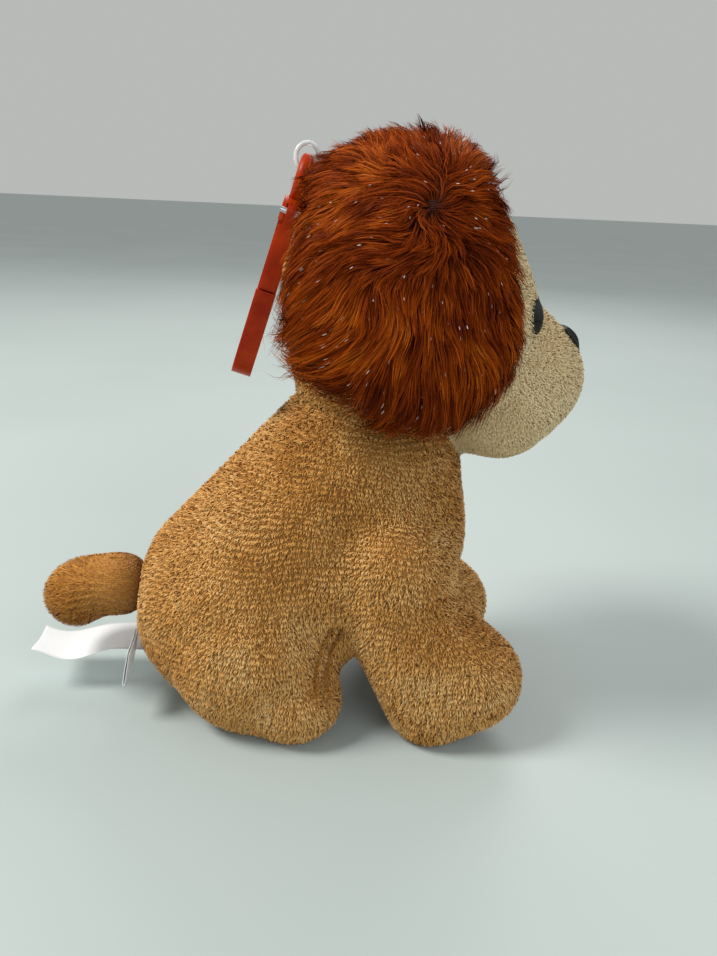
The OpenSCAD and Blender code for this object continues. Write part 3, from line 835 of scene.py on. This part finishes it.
def make_body(materials):
    skin = skin_of("body_skin", SHELL_NODES + INNER_NODES, 1.7 * MM, 3)
    puff(skin, pressure=3.0, cap=0.6 * MM, still_within=15 * MM)
    subdivide(skin)
    tuck(skin.data)
    stand_on_floor(skin.data)
    slots = {n: "cream_plush" if n in CREAM_NODES else "tan_plush" for n in SHELL_NODES}
    pieces = split_by_node(skin, SHELL_NODES, {n: materials[slots[n]] for n in SHELL_NODES})
    inner = {
        "body_side_left": ("body_stuffing", "bean_pouch_top", "bean_pouch_base", "bean_fill"),
        "head_side_left": ("head_stuffing",),
    }
    for k, (node, cloth) in enumerate(pieces.items()):
        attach(cloth, "body")
        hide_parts(node, *inner.get(node, ()))
        if node in CREAM_NODES:
            grow_pile(
                cloth,
                "body",
                materials["cream_pile"],
                density=10,
                length=1.15 * MM,
                seed=40 + k,
                pitch=0.8 * MM,
                ridge=0.15,
                nap=(0, -0.2, -1),
                # Painted shade: the cream face's fibres are darkened.
                painted_shade=0.15,
            )
        else:
            tan = materials["tan_pile"]
            grow_pile(cloth, "body", tan, density=9, length=1.3 * MM, seed=40 + k)


def make_tail(materials):
    skin = skin_of("tail_skin", ["tail_cover_left", "tail_cover_right", "tail_stuffing"], 0.9 * MM, 3)
    puff(skin, pressure=3.0, cap=0.4 * MM, still_within=11 * MM)
    subdivide(skin)
    nodes = ["tail_cover_left", "tail_cover_right"]
    pieces = split_by_node(skin, nodes, {n: materials["tan_plush"] for n in nodes})
    for k, (node, cloth) in enumerate(pieces.items()):
        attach(cloth, "tail")
        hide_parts(node, *(("tail_stuffing",) if k == 0 else ()))
        grow_pile(
            cloth,
            "tail",
            materials["tan_pile"],
            density=12,
            length=1.9 * MM,
            seed=60 + k,
            pitch=1.4 * MM,
            ridge=0.5,
            nap=(0, 1, -0.2),
            # Painted shade: the tail's fibres are darkened.
            painted_shade=0.38,
        )


# ---- ears ----


def ear_flow(points):
    """The way the long fur lies on an ear: out from a whorl, and down below it."""
    away = points[:, 1:] - WHORL
    radial = unit(away)
    fall = ramp(-away[:, 1], -5 * MM, 16 * MM)
    front = ramp(-away[:, 0], -4 * MM, 10 * MM)
    rear = ramp(away[:, 0], 3 * MM, 18 * MM)
    down = np.stack([1.1 * rear - 0.4 * front, -np.ones(len(points))], axis=1)
    over = np.stack([0.5 * (1 - front) - 0.2 * front, 0.1 * np.ones(len(points))], axis=1)
    lie = radial * (1 - 0.55 * fall)[:, None] + down * (0.8 * fall)[:, None] + over * (1 - fall)[:, None]
    unruly = 1.0 + 3.0 * np.exp(-np.sum(away**2, axis=1) / (8 * MM) ** 2)
    swing = unruly * (1.3 * (noise(points, 7 * MM, 31) - 0.5) + 1.0 * (noise(points, 2.2 * MM, 32) - 0.5))
    cos, sin = np.cos(swing), np.sin(swing)
    turned = np.stack([lie[:, 0] * cos - lie[:, 1] * sin, lie[:, 0] * sin + lie[:, 1] * cos], axis=1)
    return unit(np.concatenate([np.zeros((len(points), 1)), turned], axis=1))


def comb(points, normals, lengths, lifts, tree, side):
    """Paths of long fibres that follow the flow over the ear, and hang free past its edge."""
    count = len(points)
    steps = len(FUR_RISES)
    paths = np.empty((count, steps + 1, 3))
    outs = np.empty((count, steps + 1, 3))
    place, out = points.copy(), normals.copy()
    way = ear_flow(place)
    paths[:, 0], outs[:, 0] = place - normals * 0.2 * MM, out
    for k, rise in enumerate(FUR_RISES):
        flow = unit(0.6 * ear_flow(place) + 0.4 * way)
        flat = unit(flow - out * np.sum(flow * out, axis=1, keepdims=True))
        way = unit(flat + out * (rise * (0.6 + lifts))[:, None])
        place = place + way * (lengths / steps)[:, None]
        least = (0.35 + 0.9 * lifts) * MM * min(1.0, (k + 1) / 2)
        for i in range(count):
            near, normal, _, _ = tree.find_nearest(Vector(place[i]))
            normal = Vector(normal)
            if normal.x * side < 0.12:
                continue
            height = (Vector(place[i]) - near).dot(normal)
            if height < least[i]:
                place[i] += np.array(normal * (least[i] - height))
            out[i] = normal
        paths[:, k + 1], outs[:, k + 1] = place, out
    return paths, outs


def bunch(paths, rng, share, pull):
    """Draws the fibres' tips together into pointed locks, each round one of this share of them."""
    count, rows = paths.shape[:2]
    leaders = rng.choice(count, max(1, int(count * share)), replace=False)
    tree = KDTree(len(leaders))
    for i, leader in enumerate(leaders):
        tree.insert(Vector(paths[leader, 0]), i)
    tree.balance()
    owner = np.array([leaders[tree.find(Vector(p))[1]] for p in paths[:, 0]])
    along = np.linspace(0, 1, rows)
    strength = (pull * (0.7 + 0.6 * rng.random(count)))[:, None] * along[None, :] ** 1.3
    strength = clamp(strength, 0, 0.92)[:, :, None]
    spread = (paths[:, :1] - paths[owner][:, :1]) * (1 - 0.85 * along)[None, :, None]
    return paths * (1 - strength) + (paths[owner] + spread) * strength


def glints(paths, outs):
    """Short tinsel fibres, coloured bright as painted glints, that lie on the fur, where the outer part of
    each of these fibres was.
    """
    share = np.linspace(0.0, 0.35, paths.shape[1])[None, :, None]
    start, end = paths[:, 2:3], paths[:, 3:4]
    return start + (end - start) * share + outs * 0.3 * MM


def long_fur(cloth, body, material, side, seed):
    """The long fur on an ear's outer face, longer at its foot and rear, with a few bright fibres."""
    rng = np.random.default_rng(seed)
    points, normals = scatter(cloth.data, SKIN_NORMALS[cloth.name], 15, rng)
    count = len(points)
    tree = tree_of(cloth.data)
    crown = ramp(points[:, 2], WHORL[1], WHORL[1] + 8 * MM)
    low = 1 - ramp(points[:, 2], 78 * MM, 92 * MM)
    rear = ramp(points[:, 1], -15 * MM, -5 * MM) * (1 - 0.85 * ramp(points[:, 2], 96 * MM, 106 * MM))
    lengths = (6.6 - 0.8 * crown + 4.4 * low + 3.8 * rear) * MM * (0.6 + 0.55 * rng.random(count))
    lifts = 0.25 + 0.75 * rng.random(count) ** 1.5 + 0.7 * crown * rng.random(count)
    paths, outs = comb(points, normals, lengths, lifts, tree, side)
    paths = bunch(paths, rng, share=0.08, pull=0.62)
    lock = noise(points, 1.6 * MM, 41) - 0.5
    patch = noise(points, 7 * MM, 42) - 0.5
    tones = clamp(0.42 + 0.55 * lock + 0.35 * patch + 0.13 * rng.normal(0, 1, count), 0.02, 0.92)
    # Tinsel fibres of the ear's fur, with their sparkle painted as a bright white-pink tone: painted glints.
    glitter_glints = rng.random(count) < 0.012
    tones[glitter_glints] = 0.985
    widths = 0.16 * MM * (0.7 + 0.6 * rng.random(count))
    paths[glitter_glints] = glints(paths[glitter_glints], outs[glitter_glints])
    soft = unit(outs + rng.normal(0, 0.25, (count, 1, 3)))
    rolls = rng.normal(0, 0.6, count)
    fur = ribbons(cloth.name.replace("_cloth", "_fur"), paths, soft, widths, tones, rolls, material)
    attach(fur, body)


def make_ear(side_name, side, materials, seed):
    body = f"ear_{side_name}"
    nodes = [f"ear_{side_name}_plush", f"ear_{side_name}_lining"]
    skin = skin_of(f"{body}_skin", nodes, 0.9 * MM, 3)
    subdivide(skin)
    slots = dict(zip(nodes, ("rust_plush", "ear_lining")))
    pieces = split_by_node(skin, nodes, {n: materials[slots[n]] for n in nodes})
    for node, cloth in pieces.items():
        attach(cloth, body)
        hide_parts(node)
    long_fur(pieces[nodes[0]], body, materials["rust_fur"], side, seed)
    lining, material = pieces[nodes[1]], materials["lining_pile"]
    grow_pile(lining, body, material, density=7, length=0.8 * MM, seed=seed + 1, ridge=0.3)


# ---- eyes and nose ----


def principal_axes(points):
    middle = points.mean(axis=0)
    _, _, axes = np.linalg.svd(points - middle, full_matrices=False)
    return middle, axes


def tube(verts, faces, path, radius, sides=6):
    """Adds a round thread along a path, closed at both ends."""
    path = np.array(path)
    tangents = unit(np.gradient(path, axis=0))
    base = len(verts)
    for i, (place, way) in enumerate(zip(path, tangents)):
        first = unit(np.cross(way, UP + np.array([0.01, 0.02, 0.0])))
        second = np.cross(way, first)
        slim = 0.45 if i in (0, len(path) - 1) else 1.0
        for k in range(sides):
            a = 2 * math.pi * k / sides
            verts.append(place + (first * math.cos(a) + second * math.sin(a)) * radius * slim)
    for i in range(len(path) - 1):
        for k in range(sides):
            n = (k + 1) % sides
            a, b = base + i * sides, base + (i + 1) * sides
            faces.append((a + k, a + n, b + n, b + k))
    faces.append(tuple(base + k for k in reversed(range(sides))))
    last = base + (len(path) - 1) * sides
    faces.append(tuple(last + k for k in range(sides)))


def thread_hits(tree, origin, thread_way, out, width):
    """Where a line across the patch meets its outer face, from one edge to the other."""
    hits = []
    for across in np.linspace(-width, width, 41):
        start = origin + thread_way * across + out * 8 * MM
        place, _, _, _ = tree.ray_cast(Vector(start), Vector(-out))
        if place is not None:
            hits.append((across, np.array(place)))
    return hits


def thread_path(hits, thread_way, out, bulge, jag, rng):
    """One thread's middle line over these places, with both ends past the edge and sunk in."""
    keep = hits[:: max(1, len(hits) // 9)]
    if keep[-1][0] != hits[-1][0]:
        keep.append(hits[-1])
    low, high = hits[0][0], hits[-1][0]
    span = max(high - low, 1e-6)
    path = []
    for across, place in keep:
        u = (across - low) / span
        path.append(place + out * (0.12 * MM + bulge * math.sin(math.pi * u)))
    path[0] = path[0] - thread_way * jag * rng.random() - out * 0.25 * MM
    path[-1] = path[-1] + thread_way * jag * rng.random() - out * 0.25 * MM
    return path


def satin_stitch(node, radius, jag, material, seed, crown=0.0):
    """Threads laid side by side across a patch, each from edge to edge, in place of the patch."""
    rng = np.random.default_rng(seed)
    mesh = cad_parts[node].data
    points = coordinates(mesh)
    middle, (long_way, thread_way, out) = principal_axes(points)
    if np.dot(out, TOWARD_FRONT) < 0:
        out = -out
    reach = np.abs((points - middle) @ long_way).max()
    width = np.abs((points - middle) @ thread_way).max()
    tree = tree_of(mesh)
    verts, faces = [], []
    for row in np.arange(-reach + 0.5 * THREAD_PITCH, reach, THREAD_PITCH):
        hits = thread_hits(tree, middle + long_way * row, thread_way, out, width)
        if len(hits) < 3:
            continue
        bulge = crown * (1 - (row / reach) ** 2)
        path = thread_path(hits, thread_way, out, bulge, jag, rng)
        tube(verts, faces, path, radius * (0.9 + 0.2 * rng.random()))
    piece = plain_mesh(f"{node}_stitch", verts, faces, material)
    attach(piece, "body")
    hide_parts(node)


# ---- labels ----


def evenly(line, steps):
    """Points spaced evenly along this line."""
    line = np.array(line)
    lengths = np.concatenate([[0], np.cumsum(np.linalg.norm(np.diff(line, axis=0), axis=1))])
    even = np.linspace(0, lengths[-1], steps + 1)
    return np.stack([np.interp(even, lengths, line[:, k]) for k in range(3)], axis=1)


def strip_points(line, width, ruffle):
    """The points of a label's two faces, row by row, with waved edges and a frayed end."""
    middle = evenly(line, STRIP_STEPS)
    tangents = unit(np.gradient(middle, axis=0))
    across = np.array([1.0, 0.0, 0.0])
    ups = unit(np.cross(across, tangents))
    points = []
    for layer in (1, -1):
        for i in range(STRIP_STEPS + 1):
            u = i / STRIP_STEPS
            for j in range(STRIP_COLUMNS + 1):
                v = j / STRIP_COLUMNS - 0.5
                wave = ruffle * u * math.sin(9.0 * u + 4.2 * v + 1) * (0.4 + abs(2 * v))
                fray = 0.12 * MM * math.sin(57.0 * j + 1) if i == STRIP_STEPS else 0.0
                place = middle[i] + across * v * width + tangents[i] * fray
                points.append(place + ups[i] * (wave + layer * LABEL_T / 2))
    return points


def strip_corner(layer, i, j):
    """The number of the point in this face, row and column of a label."""
    columns = STRIP_COLUMNS + 1
    return (layer * (STRIP_STEPS + 1) + i) * columns + j


def strip_faces():
    """A label's two faces, then its long edges, then its two ends."""
    at = strip_corner
    rows, columns = STRIP_STEPS, STRIP_COLUMNS
    faces = []
    for i in range(rows):
        for j in range(columns):
            faces.append((at(0, i, j), at(0, i + 1, j), at(0, i + 1, j + 1), at(0, i, j + 1)))
            faces.append((at(1, i, j + 1), at(1, i + 1, j + 1), at(1, i + 1, j), at(1, i, j)))
    for i in range(rows):
        faces.append((at(0, i, 0), at(1, i, 0), at(1, i + 1, 0), at(0, i + 1, 0)))
        faces.append((at(0, i + 1, columns), at(1, i + 1, columns), at(1, i, columns), at(0, i, columns)))
    for j in range(columns):
        faces.append((at(0, 0, j + 1), at(1, 0, j + 1), at(1, 0, j), at(0, 0, j)))
        faces.append((at(0, rows, j), at(1, rows, j), at(1, rows, j + 1), at(0, rows, j + 1)))
    return faces


def print_stripe(piece, material, start, end):
    """Colours a plain stripe across a label, on both faces, between these shares of its length."""
    piece.data.materials.append(material)
    for k in range(2 * STRIP_STEPS * STRIP_COLUMNS):
        i, j = divmod(k // 2, STRIP_COLUMNS)
        if start < (i + 0.5) / STRIP_STEPS < end and 2 <= j < STRIP_COLUMNS - 2:
            piece.data.polygons[k].material_index = 1


def care_label_line():
    """Back from the seam in one slow wave, above the floor."""
    low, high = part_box("care_label")
    middle = (low[0] + high[0]) / 2
    run = 0.86 * CARE_LABEL[1]
    top = 10.6 * MM
    steps = 24
    line = []
    for i in range(steps + 1):
        u = i / steps
        rise = -1.6 * u + 1.5 * math.sin(math.radians(400 * u)) * u
        line.append((middle, low[1] + run * u, top + rise * MM))
    return line


def seam_label_line():
    """Down from the seam to a fold, and back up behind itself."""
    low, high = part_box("seam_label")
    middle = (low[0] + high[0]) / 2
    near, far = low[1] + 0.35 * MM, high[1] - 0.35 * MM
    top, drop_z = high[2] - 0.2 * MM, high[2] - low[2] - 0.5 * MM
    steps = 8
    line = []
    for i in range(steps + 1):
        u = i / steps
        line.append((middle, near + (far - near) * u * 0.75, top - drop_z * u))
    fold = line[-1]
    back = [(middle, y + 0.42 * MM, z + 0.08 * MM) for _, y, z in reversed(line)]
    line.append((middle, fold[1] + 0.25 * MM, fold[2] - 0.12 * MM))
    return line + back


def make_labels(materials):
    points = strip_points(care_label_line(), CARE_LABEL[0], ruffle=0.5 * MM)
    care = plain_mesh("care_label_satin", points, strip_faces(), materials["label_satin"])
    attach(care, "care_label")
    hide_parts("care_label")

    points = strip_points(seam_label_line(), SEAM_LABEL[0], ruffle=0.05 * MM)
    tab = plain_mesh("seam_label_satin", points, strip_faces(), materials["label_satin"])
    print_stripe(tab, materials["label_print"], 0.58, 0.8)
    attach(tab, "seam_label")
    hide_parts("seam_label")


# ---- clip ----


def finish_clip(materials):
    for node, slot, width in (
        ("clip_frame", "clip_plastic", 0.35 * MM),
        ("clip_gate", "clip_plastic", 0.25 * MM),
        ("clip_pin", "pin_steel", 0.12 * MM),
    ):
        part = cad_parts[node]
        part.data.materials.clear()
        part.data.materials.append(materials[slot])
        bevel = part.modifiers.new("edges", "BEVEL")
        bevel.width = width
        bevel.segments = 2
        bevel.limit_method = "ANGLE"
        bevel.angle_limit = math.radians(40)
        bevel.use_clamp_overlap = True


# ---- everything, in order ----

make_camera()
library = make_materials()
make_loop(library["loop_cord"])
make_light()
make_floor()
make_body(library)
make_tail(library)
make_ear("left", 1, library, 81)
make_ear("right", -1, library, 91)
thread = library["black_thread"]
satin_stitch("eye_left", 0.27 * MM, 1.0 * MM, thread, seed=5)
satin_stitch("eye_right", 0.27 * MM, 1.0 * MM, thread, seed=6)
satin_stitch("nose", 0.29 * MM, 0.9 * MM, thread, seed=7, crown=0.7 * MM)
make_labels(library)
finish_clip(library)
